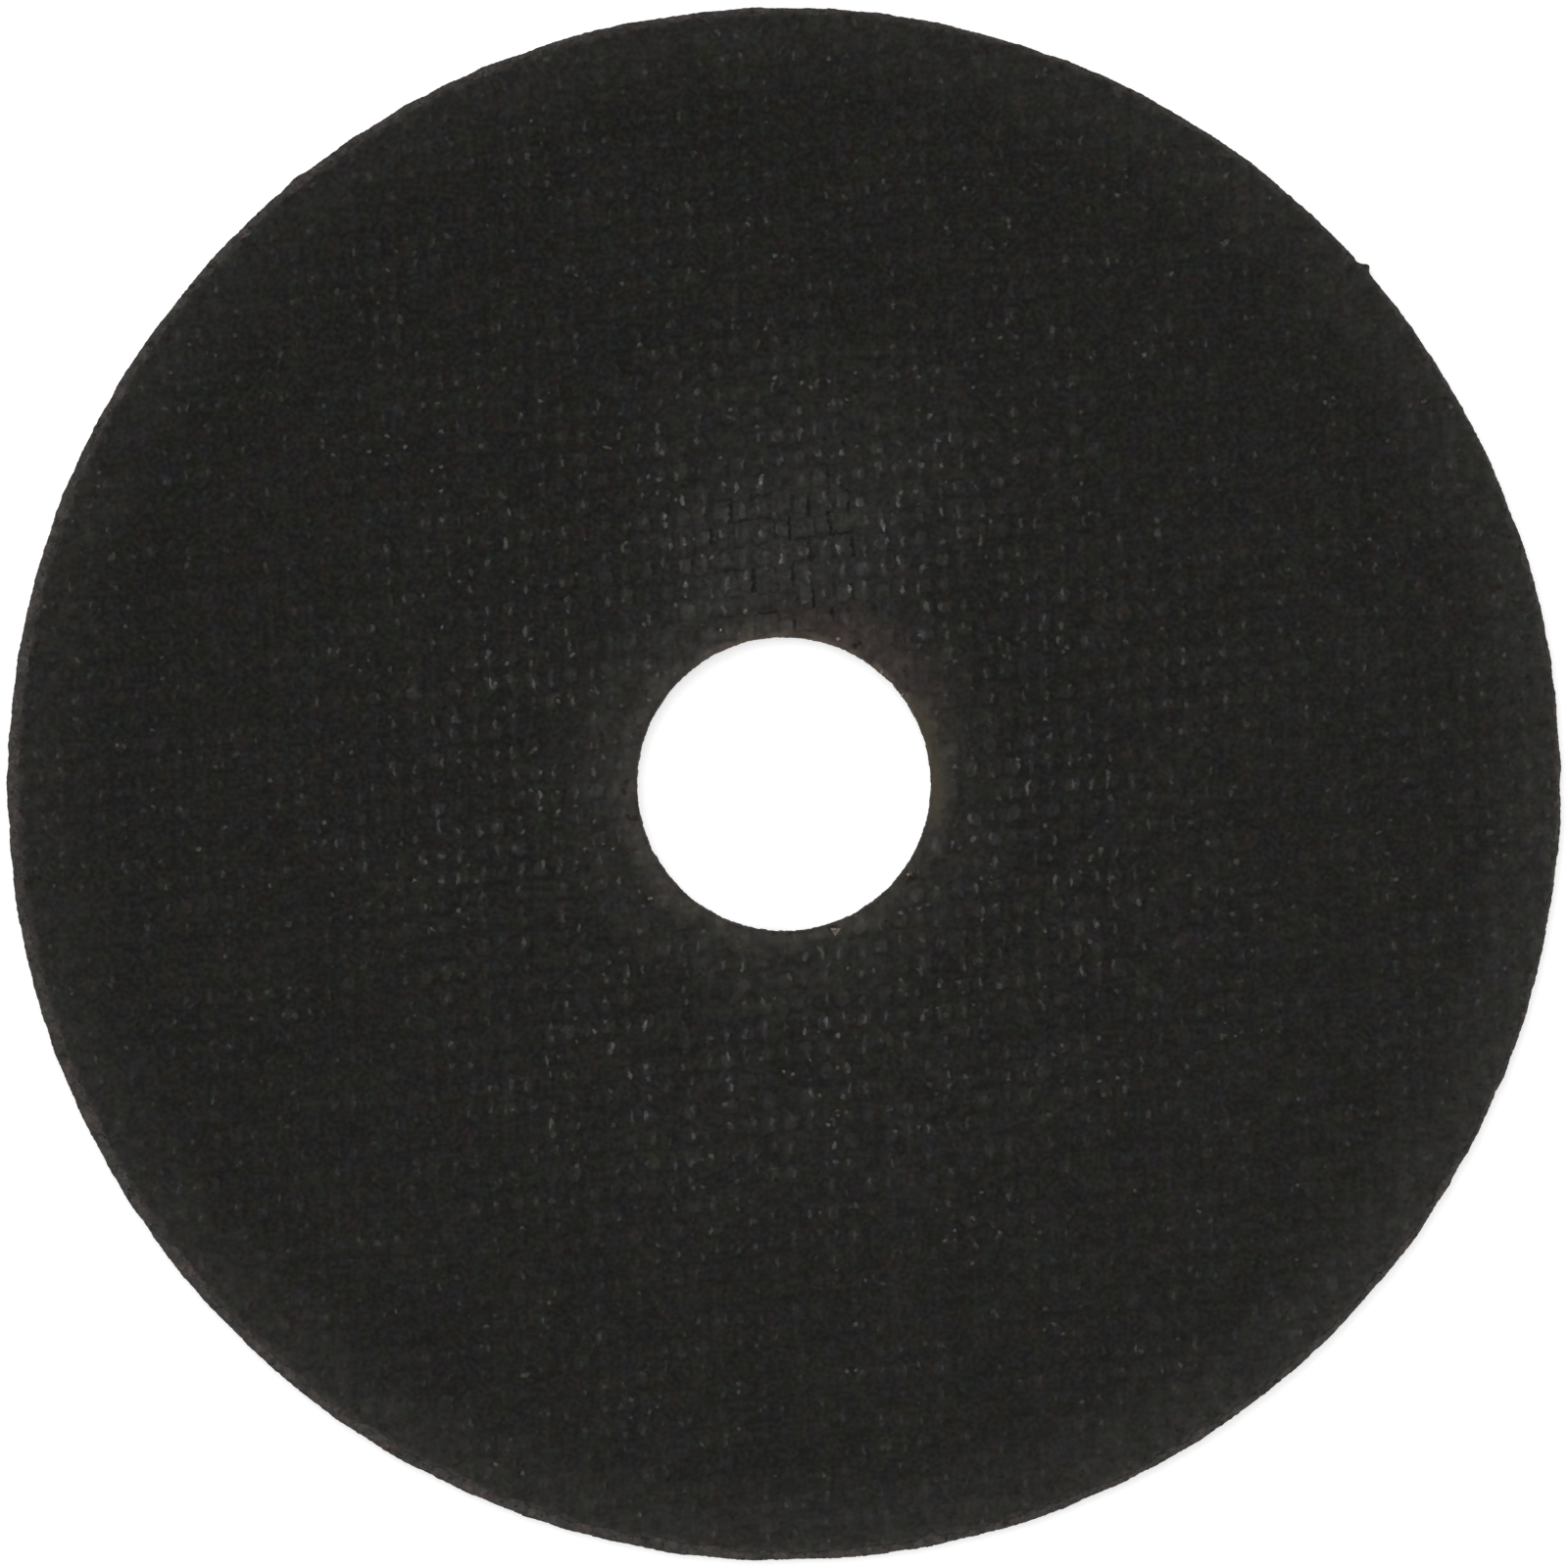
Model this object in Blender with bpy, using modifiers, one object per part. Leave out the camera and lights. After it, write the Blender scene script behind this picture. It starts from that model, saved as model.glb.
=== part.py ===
"""Cut-off wheel, 50.8 mm (2 in) across and 1.6 mm thick, with a 9.525 mm (3/8 in) bore.

The wheel is one bonded piece: black resin and abrasive grain, with a woven glass cloth pressed
into each face. It lies flat. The origin is the middle of the bore at the bottom face, and +Z is
the wheel's axis. Lengths are in metres.
"""

import math

import bpy
import bmesh
from mathutils import Vector

# Wheel
WHEEL_DIAMETER = 0.0508
WHEEL_THICKNESS = 0.0016
RIM_EDGE_BREAK = 0.00015

# Bore, a punched hole whose edges are broken
BORE_DIAMETER = 0.009525
BORE_EDGE_BREAK = 0.00012

# Smooth clamping land round the bore, just proud of the cloth's highest threads
LAND_WIDTH = 0.0014
LAND_SLOPE_WIDTH = 0.0002
LAND_STAND = 0.00001

# Woven cloth on each face: it stops short of the rim and was laid a little off centre
THREAD_RELIEF = 0.00016
CLOTH_BED = 0.00002
CLOTH_SHORTFALL = 0.00024
CLOTH_OFFSET = 0.00018
CLOTH_OFFSET_DIRECTION = math.radians(37.0)

# Plain weave: the warp threads run nearly up the wheel and the weft threads nearly across it
WARP_PITCH = 0.000646
WEFT_PITCH = 0.000771
WARP_DIRECTION = math.radians(92.65)
WEFT_DIRECTION = math.radians(6.11)
WARP_PHASE = 0.483
WEFT_PHASE = 0.396

# The weft runs in a slow wave across the wheel
WEFT_WAVE_HEIGHT = 0.0001
WEFT_WAVE_LENGTH = 0.035
WEFT_WAVE_CREST = 0.0038

# Sharp burr on the rim
BURR_DIRECTION = math.radians(41.6)
BURR_HEIGHT = 0.00016
BURR_WIDTH = 0.00042

# Broad swelling of the rim
SWELLING_DIRECTION = math.radians(129.0)
SWELLING_HEIGHT = 0.00012
SWELLING_WIDTH = 0.0013

# Both stop this far short of the rim's upper and lower edges
LUMP_EDGE_GAP = 0.0001

WHEEL_RADIUS = WHEEL_DIAMETER / 2
BORE_RADIUS = BORE_DIAMETER / 2
LAND_RADIUS = BORE_RADIUS + LAND_WIDTH
CLOTH_RADIUS = WHEEL_RADIUS - CLOTH_SHORTFALL
CLOTH_HEIGHT = LAND_STAND + THREAD_RELIEF + CLOTH_BED
MIDDLE_HEIGHT = WHEEL_THICKNESS / 2

# How finely the shapes are divided
WHEEL_SIDES = 64
LUMP_SIDES = 24
BACK_WARPS_PER_STEP = 42
MERGE_DISTANCE = 0.000001
SHARP_ANGLE = math.radians(35.0)


def clear_scene():
    """Remove every object that the scene holds."""
    for item in list(bpy.data.objects):
        bpy.data.objects.remove(item, do_unlink=True)


def new_collection(name):
    """Add a collection to the scene."""
    collection = bpy.data.collections.new(name)
    bpy.context.scene.collection.children.link(collection)
    return collection


def new_object(name, shape, collection):
    """Turn a bmesh into an object of that name."""
    mesh = bpy.data.meshes.new(name)
    shape.to_mesh(mesh)
    shape.free()
    item = bpy.data.objects.new(name, mesh)
    collection.objects.link(item)
    return item


def bonded_material():
    """Black resin bond: dark, dull and not metallic."""
    material = bpy.data.materials.new("black_resin_bond")
    material.use_nodes = True
    surface = material.node_tree.nodes["Principled BSDF"]
    surface.inputs["Base Color"].default_value = (0.017, 0.016, 0.015, 1.0)
    surface.inputs["Roughness"].default_value = 0.6
    surface.inputs["Metallic"].default_value = 0.0
    return material


def turned_object(name, outline, collection):
    """Turn a closed outline of (radius, height) points about the Z axis.

    The outline runs down its outer side, which makes the faces point out.
    """
    shape = bmesh.new()
    points = [shape.verts.new((radius, 0.0, height)) for radius, height in outline]
    for number, point in enumerate(points):
        shape.edges.new((point, points[(number + 1) % len(points)]))
    item = new_object(name, shape, collection)
    screw = item.modifiers.new("turn", "SCREW")
    screw.axis = "Z"
    screw.angle = math.tau
    screw.steps = WHEEL_SIDES
    screw.render_steps = WHEEL_SIDES
    screw.use_merge_vertices = True
    screw.merge_threshold = MERGE_DISTANCE
    return item


def half_section():
    """Upper half of the wheel's section: bore edge, land, shoulder under the cloth and rim edge.

    Heights are measured from the middle of the wheel's thickness.
    """
    top = MIDDLE_HEIGHT
    shoulder = top - CLOTH_HEIGHT
    return [
        (BORE_RADIUS, top - BORE_EDGE_BREAK),
        (BORE_RADIUS + BORE_EDGE_BREAK, top),
        (LAND_RADIUS, top),
        (LAND_RADIUS + LAND_SLOPE_WIDTH, shoulder),
        (WHEEL_RADIUS - RIM_EDGE_BREAK, shoulder),
        (WHEEL_RADIUS, shoulder - RIM_EDGE_BREAK),
    ]


def wheel_section():
    """Whole section: the upper half and its mirror image, which runs back to the bore."""
    upper = [(radius, MIDDLE_HEIGHT + height) for radius, height in half_section()]
    lower = [(radius, MIDDLE_HEIGHT - height) for radius, height in reversed(half_section())]
    return upper + lower


def crossing_place(warp_number, weft_number):
    """Place where one warp thread crosses one weft thread, with the weft's slow wave."""
    warp_normal = Vector((math.sin(WARP_DIRECTION), -math.cos(WARP_DIRECTION)))
    weft_normal = Vector((-math.sin(WEFT_DIRECTION), math.cos(WEFT_DIRECTION)))
    warp_distance = (warp_number - WARP_PHASE) * WARP_PITCH
    weft_distance = (weft_number - WEFT_PHASE) * WEFT_PITCH
    wave_angle = math.tau * (warp_distance - WEFT_WAVE_CREST) / WEFT_WAVE_LENGTH
    weft_distance += WEFT_WAVE_HEIGHT * math.cos(wave_angle)
    skew = warp_normal.cross(weft_normal)
    return Vector((
        (warp_distance * weft_normal.y - weft_distance * warp_normal.y) / skew,
        (weft_distance * warp_normal.x - warp_distance * weft_normal.x) / skew,
    ))


def front_relief(warp_number, weft_number):
    """Front: a crest where the broad weft passes over the warp, a hollow where it dives under."""
    weft_over = (warp_number + weft_number) % 2 == 0
    return 0.0 if weft_over else THREAD_RELIEF


def back_relief(warp_number, weft_number):
    """Back: each weft thread is a ridge, and half way to the next one is a groove."""
    on_thread = weft_number == round(weft_number)
    return 0.0 if on_thread else THREAD_RELIEF


def split_between_hollows(shape):
    """Cut each face across from hollow to hollow, so that every crest stands by itself."""
    for face in shape.faces[:]:
        corners = sorted(face.verts, key=lambda corner: abs(corner.co.z - MIDDLE_HEIGHT))
        across = [edge.other_vert(corners[0]) for edge in corners[0].link_edges]
        if corners[1] not in across:
            bmesh.utils.face_split(face, corners[0], corners[1])


def cloth_sheet(name, steps, relief, side, collection):
    """Sheet of cloth laid along its threads and thickened to the middle of the wheel.

    steps is how many warp and weft threads lie between two points of the sheet, relief gives a
    point's depth below the crests, and side is +1 for the front and -1 for the back.
    """
    warp_step, weft_step = steps
    columns = 2 * math.ceil((WHEEL_RADIUS / WARP_PITCH + 2) / warp_step)
    rows = 2 * math.ceil((WHEEL_RADIUS / WEFT_PITCH + 4) / weft_step)
    crest = MIDDLE_HEIGHT - LAND_STAND
    shape = bmesh.new()
    bmesh.ops.create_grid(shape, x_segments=columns, y_segments=rows, size=0.5)
    for point in shape.verts:
        warp_number = round(point.co.x * columns) * warp_step
        weft_number = round(point.co.y * rows) * weft_step
        place = crossing_place(warp_number, weft_number)
        depth = relief(warp_number, weft_number)
        point.co = (place.x, place.y, MIDDLE_HEIGHT + side * (crest - depth))

    spare_radius = WHEEL_RADIUS + WARP_PITCH * warp_step + WEFT_PITCH
    spare = [point for point in shape.verts if point.co.xy.length > spare_radius]
    bmesh.ops.delete(shape, geom=spare, context="VERTS")
    split_between_hollows(shape)

    thickened = bmesh.ops.extrude_face_region(shape, geom=shape.faces[:], use_keep_orig=True)
    for item in thickened["geom"]:
        if isinstance(item, bmesh.types.BMVert):
            item.co.z = MIDDLE_HEIGHT
    bmesh.ops.recalc_face_normals(shape, faces=shape.faces[:])
    return new_object(name, shape, collection)


def cloth_cutter(collection):
    """Ring that trims the cloth: off centre outside, and ending under the land inside."""
    inner_radius = BORE_RADIUS + LAND_WIDTH / 2
    over = MIDDLE_HEIGHT + WHEEL_THICKNESS
    under = MIDDLE_HEIGHT - WHEEL_THICKNESS
    outline = [(inner_radius, over), (CLOTH_RADIUS, over), (CLOTH_RADIUS, under), (inner_radius, under)]
    cutter = turned_object("cloth_cutter", outline, collection)
    cutter.location.x = CLOTH_OFFSET * math.cos(CLOTH_OFFSET_DIRECTION)
    cutter.location.y = CLOTH_OFFSET * math.sin(CLOTH_OFFSET_DIRECTION)
    return cutter


def rim_lump(name, direction, height, width, collection):
    """Upright round lump whose outer part stands out of the rim by its height and width."""
    radius = (width * width / 4 + height * height) / (2 * height)
    shape = bmesh.new()
    bmesh.ops.create_cone(
        shape,
        cap_ends=True,
        segments=LUMP_SIDES,
        radius1=radius,
        radius2=radius,
        depth=WHEEL_THICKNESS - 2 * (CLOTH_HEIGHT + RIM_EDGE_BREAK + LUMP_EDGE_GAP),
    )
    lump = new_object(name, shape, collection)
    reach = WHEEL_RADIUS + height - radius
    lump.location = (reach * math.cos(direction), reach * math.sin(direction), MIDDLE_HEIGHT)
    lump.rotation_euler.z = direction
    return lump


def combine(target, tool, operation):
    """Add a tool shape to the target, or keep only what the two share."""
    boolean = target.modifiers.new(operation.lower() + "_" + tool.name, "BOOLEAN")
    boolean.operation = operation
    boolean.solver = "EXACT"
    boolean.object = tool
    tool.hide_render = True
    tool.display_type = "WIRE"


def settle(item):
    """Make the object's modifiers its own mesh, shaded smooth except at sharp edges."""
    evaluated = item.evaluated_get(bpy.context.evaluated_depsgraph_get())
    mesh = bpy.data.meshes.new_from_object(evaluated)
    item.modifiers.clear()
    item.data = mesh
    mesh.shade_smooth()
    mesh.set_sharp_from_angle(angle=SHARP_ANGLE)


def build():
    """Model the wheel as one solid."""
    clear_scene()
    parts = new_collection("cut_off_wheel")
    tools = new_collection("cutters")

    front = cloth_sheet("front_cloth", (1, 1), front_relief, 1, tools)
    back = cloth_sheet("back_cloth", (BACK_WARPS_PER_STEP, 0.5), back_relief, -1, tools)
    cutter = cloth_cutter(tools)
    combine(front, cutter, "INTERSECT")
    combine(back, cutter, "INTERSECT")

    wheel = turned_object("cut_off_wheel", wheel_section(), parts)
    combine(wheel, front, "UNION")
    combine(wheel, back, "UNION")
    burr = rim_lump("rim_burr", BURR_DIRECTION, BURR_HEIGHT, BURR_WIDTH, tools)
    swelling = rim_lump("rim_swelling", SWELLING_DIRECTION, SWELLING_HEIGHT, SWELLING_WIDTH, tools)
    combine(wheel, burr, "UNION")
    combine(wheel, swelling, "UNION")
    settle(wheel)
    wheel.data.materials.clear()
    wheel.data.materials.append(bonded_material())


build()
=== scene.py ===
"""Looks of the cut-off wheel: woven cloth faces, a resin land round the bore and a raw rim.

Shapes are worked out in millimetres and stored in metres. The wheel lies flat on a white floor
and the camera looks straight down on it.
"""

import math

import bpy
import numpy as np
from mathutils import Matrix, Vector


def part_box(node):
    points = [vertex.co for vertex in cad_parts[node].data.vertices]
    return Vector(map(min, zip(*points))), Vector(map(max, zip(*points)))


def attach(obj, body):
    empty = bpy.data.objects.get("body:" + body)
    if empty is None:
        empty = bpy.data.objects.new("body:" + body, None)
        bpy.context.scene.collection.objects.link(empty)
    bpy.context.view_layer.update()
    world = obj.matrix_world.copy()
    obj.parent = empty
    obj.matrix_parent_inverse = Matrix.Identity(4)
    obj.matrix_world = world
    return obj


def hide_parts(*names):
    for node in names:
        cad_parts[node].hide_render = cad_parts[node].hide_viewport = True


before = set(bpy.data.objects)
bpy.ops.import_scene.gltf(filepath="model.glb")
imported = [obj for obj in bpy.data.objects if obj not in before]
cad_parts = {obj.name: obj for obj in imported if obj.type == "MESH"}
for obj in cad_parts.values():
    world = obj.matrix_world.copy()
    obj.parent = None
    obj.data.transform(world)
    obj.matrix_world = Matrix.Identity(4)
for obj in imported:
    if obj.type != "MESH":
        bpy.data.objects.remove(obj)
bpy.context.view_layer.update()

MM = 0.001
NODE = "cut_off_wheel"

# Wheel, as in the CAD
low_corner, high_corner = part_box(NODE)
WHEEL_RADIUS = (high_corner[0] - low_corner[0]) / 2 / MM
THICKNESS = (high_corner[2] - low_corner[2]) / MM
BORE_RADIUS = 9.525 / 2
BORE_EDGE_BREAK = 0.12
RIM_EDGE_BREAK = 0.12
CREST_DEPTH = 0.01
SHOULDER_DEPTH = 0.19

# Cloth, as in the CAD, but for its cut edge, which stops a hair further in
CLOTH_RADIUS = WHEEL_RADIUS - 0.30
CLOTH_OFFSET = 0.13
CLOTH_OFFSET_DIRECTION = math.radians(39.0)
CLOTH_CENTRE = CLOTH_OFFSET * np.array([math.cos(CLOTH_OFFSET_DIRECTION), math.sin(CLOTH_OFFSET_DIRECTION)])
WARP_PITCH = 0.646
WEFT_PITCH = 0.771
WARP_DIRECTION = math.radians(92.65)
WEFT_DIRECTION = math.radians(6.11)
WARP_PHASE = 0.483
WEFT_PHASE = 0.396
WEFT_WAVE_HEIGHT = 0.1
WEFT_WAVE_LENGTH = 35.0
WEFT_WAVE_CREST = 3.8
WARP_NORMAL = np.array([math.sin(WARP_DIRECTION), -math.cos(WARP_DIRECTION)])
WEFT_NORMAL = np.array([-math.sin(WEFT_DIRECTION), math.cos(WEFT_DIRECTION)])

# Threads: half widths as shares of their pitch, depths in millimetres below the crests
WEFT_HALF_WIDTH = 0.32
WARP_HALF_WIDTH = 0.22
WEFT_DIVE = 0.12
WARP_DIVE = 0.12
WARP_SINK = 0.02
THREAD_ROUNDNESS = 0.045
THREAD_STRAY = 0.14
CROSSING_SINK = 0.05
RESIN_BED = 0.14
RESIN_SWELL = 0.06
BLEND_DEPTH = 0.012
WARP_STOPS = (-0.26, -0.11, 0.11, 0.26, 0.5)
WEFT_STOPS = (-0.34, -0.15, 0.15, 0.34, 0.5)
BACK_WEFT_STOPS = (-0.30, 0.0, 0.30, 0.5)
CLOTH_INNER_RADIUS = 6.3

# How strongly the weave shows in a face, then the depth and size of its grain, and what is added
# by smooth noise. Each layer of noise has its height, the size of its patches and its own seed.
LEAST_PRESS = 0.62
PRESS_LAYERS = ((0.30, 5.5, 13), (0.25, 1.6, 17))
OUTER_FLATTENING = 0.25
PATCH_FLATTENING = 0.45
GRAIN_DEPTH = 0.018
GRAIN_SIZE = 0.30
RESIN_LAYERS = ((0.014, 0.22, 15), (0.010, 0.8, 18))
RAGGED_LAYERS = ((0.14, 0.62, 16), (0.12, 0.23, 18))
FRONT_SEED = 100
BACK_SEED = 200

# A cut through a face takes points this close to it as just inside
SNAP_REACH = 0.03
JUST_INSIDE = -0.0005
SLAB_DEPTH = SHOULDER_DEPTH + 0.15

# Land round the bore and raw rim
HUB_RADIUS = 7.2
HUB_STEP = 0.06
HUB_SIDES = 620
RIM_INNER_RADIUS = 24.72
RIM_STEP = 0.062
RIM_WALL_STEP = 0.075
RIM_SIDES = 2200
GRAINS_ROUND = 1000
COARSE_GRAIN = 2.5
PLAIN_STEP = 2.0

# Scallops of the rim, each with its height, its number round the wheel and its seed. Then the burr
# and the swelling, each with its direction and half width in degrees and its height.
SCALLOPS = ((0.055, 230, 66), (0.035, 70, 67))
BURR = (41.6, 0.36, 0.21)
SWELLING = (129.0, 1.1, 0.11)

# Pale slivers of bare fibre and one chip beside the bore. Each is placed by a pixel of the
# photograph, then comes its length and width in pixels, its turn in degrees and its corners.
MM_PER_PIXEL = 0.03198
CENTRE_PIXEL = (800.5, 799.3)
SLIVERS = (
    (853, 949, 11, 13, 270, 3),
    (927, 892, 4, 4, 20, 7),
    (664, 916, 6, 4, 10, 6),
    (736, 642, 4, 3, 60, 6),
    (856, 651, 6, 4, 10, 6),
    (900, 685, 5, 3, 100, 6),
    (921, 708, 5, 3, 70, 6),
    (620, 456, 14, 5, 168, 5),
    (1454, 409, 8, 5, 30, 7),
)

# Patch above the bore where the resin floods the weave
PATCH_DIRECTION = 95.0
PATCH_HALF_ANGLE = 32.0
PATCH_REACH = 9.6


def whole_hash(i, j, seed):
    """Repeatable random numbers from 0 to 1 for pairs of whole numbers."""
    mask = np.uint64(0xFFFFFFFF)
    mixed = (i.astype(np.int64) * 374761393 + j.astype(np.int64) * 668265263 + seed * 982451653)
    mixed = mixed.astype(np.uint64) & mask
    mixed = ((mixed ^ (mixed >> np.uint64(13))) * np.uint64(1274126177)) & mask
    mixed = ((mixed ^ (mixed >> np.uint64(16))) * np.uint64(2246822519)) & mask
    mixed = mixed ^ (mixed >> np.uint64(15))
    return mixed.astype(float) / float(0xFFFFFFFF)


def smooth_step(low, high, value):
    """0 at low, 1 at high, a smooth change between them, and level beyond."""
    share = np.clip((value - low) / (high - low), 0.0, 1.0)
    return share * share * (3.0 - 2.0 * share)


def soft_noise(x, y, size, seed):
    """Smooth random field from 0 to 1, whose patches are about size across."""
    x = x / size
    y = y / size
    i = np.floor(x)
    j = np.floor(y)
    across = smooth_step(0.0, 1.0, x - i)
    up = smooth_step(0.0, 1.0, y - j)
    low = whole_hash(i, j, seed) * (1 - across) + whole_hash(i + 1, j, seed) * across
    high = whole_hash(i, j + 1, seed) * (1 - across) + whole_hash(i + 1, j + 1, seed) * across
    return low * (1 - up) + high * up


def periodic_noise(angles, count, seed):
    """Smooth random values from 0 to 1 at count places round the wheel."""
    place = angles / math.tau * count
    low = np.floor(place)
    share = smooth_step(0.0, 1.0, place - low)
    row = np.zeros_like(low)
    first = whole_hash(np.mod(low, count), row, seed)
    second = whole_hash(np.mod(low + 1, count), row, seed)
    return first * (1 - share) + second * share


def grains(x, y, size, seed, cells_round=None):
    """Field of round grains from 0 to 1, of random size, place and height, about size apart.

    cells_round is after how many cells the field comes round to its start.
    """
    x = x / size
    y = y / size
    i = np.floor(x)
    j = np.floor(y)
    field = np.zeros_like(x)
    for step_x in (-1, 0, 1):
        for step_y in (-1, 0, 1):
            column = i + step_x
            row = j + step_y
            key = column if cells_round is None else np.mod(column, cells_round)
            centre_x = column + 0.15 + 0.7 * whole_hash(key, row, seed)
            centre_y = row + 0.15 + 0.7 * whole_hash(key, row, seed + 1)
            reach = 0.45 + 0.4 * whole_hash(key, row, seed + 2)
            height = 0.35 + 0.65 * whole_hash(key, row, seed + 3)
            distance = np.hypot(x - centre_x, y - centre_y) / reach
            field = np.maximum(field, height * np.clip(1.0 - distance * distance, 0.0, 1.0))
    return field


def layered(start, x, y, layers, seed):
    """A value with layers of soft noise added."""
    return sum((height * soft_noise(x, y, size, seed + own) for height, size, own in layers), start)


def thread_place(warp_number, weft_number):
    """Place of a point given by its warp and weft numbers, with the weft's slow wave."""
    warp_distance = (warp_number - WARP_PHASE) * WARP_PITCH
    wave = WEFT_WAVE_HEIGHT * np.cos(math.tau * (warp_distance - WEFT_WAVE_CREST) / WEFT_WAVE_LENGTH)
    weft_distance = (weft_number - WEFT_PHASE) * WEFT_PITCH + wave
    skew = WARP_NORMAL[0] * WEFT_NORMAL[1] - WARP_NORMAL[1] * WEFT_NORMAL[0]
    x = (warp_distance * WEFT_NORMAL[1] - weft_distance * WARP_NORMAL[1]) / skew
    y = (weft_distance * WARP_NORMAL[0] - warp_distance * WEFT_NORMAL[0]) / skew
    return x, y


def thread_numbers(x, y):
    """Warp and weft numbers of a place: the inverse of thread_place."""
    warp_distance = x * WARP_NORMAL[0] + y * WARP_NORMAL[1]
    weft_distance = x * WEFT_NORMAL[0] + y * WEFT_NORMAL[1]
    wave = WEFT_WAVE_HEIGHT * np.cos(math.tau * (warp_distance - WEFT_WAVE_CREST) / WEFT_WAVE_LENGTH)
    return warp_distance / WARP_PITCH + WARP_PHASE, (weft_distance - wave) / WEFT_PITCH + WEFT_PHASE


def weave(u, v, seed):
    """Depth below the crests in millimetres at warp and weft numbers."""
    u = u + THREAD_STRAY * (soft_noise(u, v / 3.0, 1.0, seed + 11) - 0.5)
    v = v + THREAD_STRAY * (soft_noise(u / 3.0, v, 1.0, seed + 12) - 0.5)
    i = np.round(u)
    j = np.round(v)
    du = u - i
    dv = v - j
    window = np.cos(math.pi * du) ** 2 * np.cos(math.pi * dv) ** 2
    sink = CROSSING_SINK * whole_hash(i, j, seed) ** 1.5 * window
    weft_width = WEFT_HALF_WIDTH * (0.85 + 0.30 * soft_noise(u, v, 2.3, seed + 5))
    warp_width = WARP_HALF_WIDTH * (0.80 + 0.40 * soft_noise(u, v, 2.1, seed + 6))
    weft = WEFT_DIVE * (1 - np.cos(math.pi * (u + j))) / 2
    weft = weft + THREAD_ROUNDNESS * (dv / weft_width) ** 4 + sink
    warp = WARP_SINK + WARP_DIVE * (1 + np.cos(math.pi * (v + i))) / 2
    warp = warp + THREAD_ROUNDNESS * (du / warp_width) ** 2 + sink
    bed = RESIN_BED - RESIN_SWELL * soft_noise(u, v, 1.7, seed + 7)
    nearest = np.minimum(np.minimum(weft, warp), bed)
    total = sum(np.exp(-(form - nearest) / BLEND_DEPTH) for form in (weft, warp, bed))
    return nearest - BLEND_DEPTH * np.log(total) + BLEND_DEPTH * math.log(3.0)


def patch_share(x, y):
    """Share of the smooth resin patch above the bore."""
    radius = np.hypot(x, y)
    angle = np.degrees(np.arctan2(y, x))
    aside = np.abs(angle - PATCH_DIRECTION)
    across = smooth_step(PATCH_HALF_ANGLE + 14.0, PATCH_HALF_ANGLE - 10.0, aside)
    across = across * smooth_step(5.4, 6.6, radius)
    return across * smooth_step(PATCH_REACH + 1.2, PATCH_REACH - 1.0, radius)


def face_depth(x, y, seed, patch):
    """Depth of a face below its crests: threads, the resin that floods them, and grain."""
    radius = np.hypot(x, y)
    press = layered(LEAST_PRESS, x, y, PRESS_LAYERS, seed)
    press = press * (1.0 - OUTER_FLATTENING * smooth_step(11.0, 19.0, radius))
    press = press * (1.0 - PATCH_FLATTENING * patch)
    u, v = thread_numbers(x, y)
    depth = press * weave(u, v, seed) + GRAIN_DEPTH * (1.0 - grains(x, y, GRAIN_SIZE, seed + 14))
    depth = layered(depth, x, y, RESIN_LAYERS, seed)
    return np.clip(depth, 0.0, SHOULDER_DEPTH - 0.02)


def new_piece(name, points, faces, material, smooth_angle):
    """Mesh piece from points in millimetres, riding on the wheel's body in place of the CAD node.

    Edges that turn by more than smooth_angle degrees stay sharp.
    """
    mesh = bpy.data.meshes.new(name)
    mesh.from_pydata((points * MM).tolist(), [], faces)
    mesh.validate()
    mesh.shade_smooth()
    mesh.set_sharp_from_angle(angle=math.radians(smooth_angle))
    piece = bpy.data.objects.new(name, mesh)
    bpy.context.scene.collection.objects.link(piece)
    mesh.materials.append(material)
    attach(piece, "root")
    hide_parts(NODE)
    return piece


def clip(points, values, triangles, field):
    """Keep the part of a triangle mesh where field is below zero, cutting edges where it is zero.

    points are x, y pairs and values are what each point carries. Points close to the cut are
    left where they are, so that no thin slivers appear.
    """
    inside = field < 0
    count = inside[triangles].sum(axis=1)
    kept = triangles[count == 3]
    new_points = []
    new_values = []
    made = {}
    base = len(points)

    def cut(a, b):
        key = (a, b) if a < b else (b, a)
        if key not in made:
            share = field[key[0]] / (field[key[0]] - field[key[1]])
            new_points.append(points[key[0]] * (1 - share) + points[key[1]] * share)
            new_values.append(values[key[0]] * (1 - share) + values[key[1]] * share)
            made[key] = base + len(new_points) - 1
        return made[key]

    extra = []
    for triangle in triangles[(count == 1) | (count == 2)].tolist():
        a, b, c = triangle
        while not (inside[a] and not inside[c]):
            a, b, c = b, c, a
        if inside[b]:
            first = cut(b, c)
            second = cut(a, c)
            extra.append((a, b, first))
            extra.append((a, first, second))
        else:
            extra.append((a, cut(a, b), cut(a, c)))
    points = np.vstack([points, np.array(new_points)])
    values = np.vstack([values, np.array(new_values)])
    triangles = np.vstack([kept, np.array(extra)])
    used, renumbered = np.unique(triangles, return_inverse=True)
    return points[used], values[used], renumbered.reshape(triangles.shape)


def border_loops(triangles):
    """Directed edges that belong to one triangle only."""
    edges = np.vstack([triangles[:, [0, 1]], triangles[:, [1, 2]], triangles[:, [2, 0]]])
    keys = np.sort(edges, axis=1)
    _, first, count = np.unique(keys, axis=0, return_index=True, return_counts=True)
    return edges[first[count == 1]]


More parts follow.
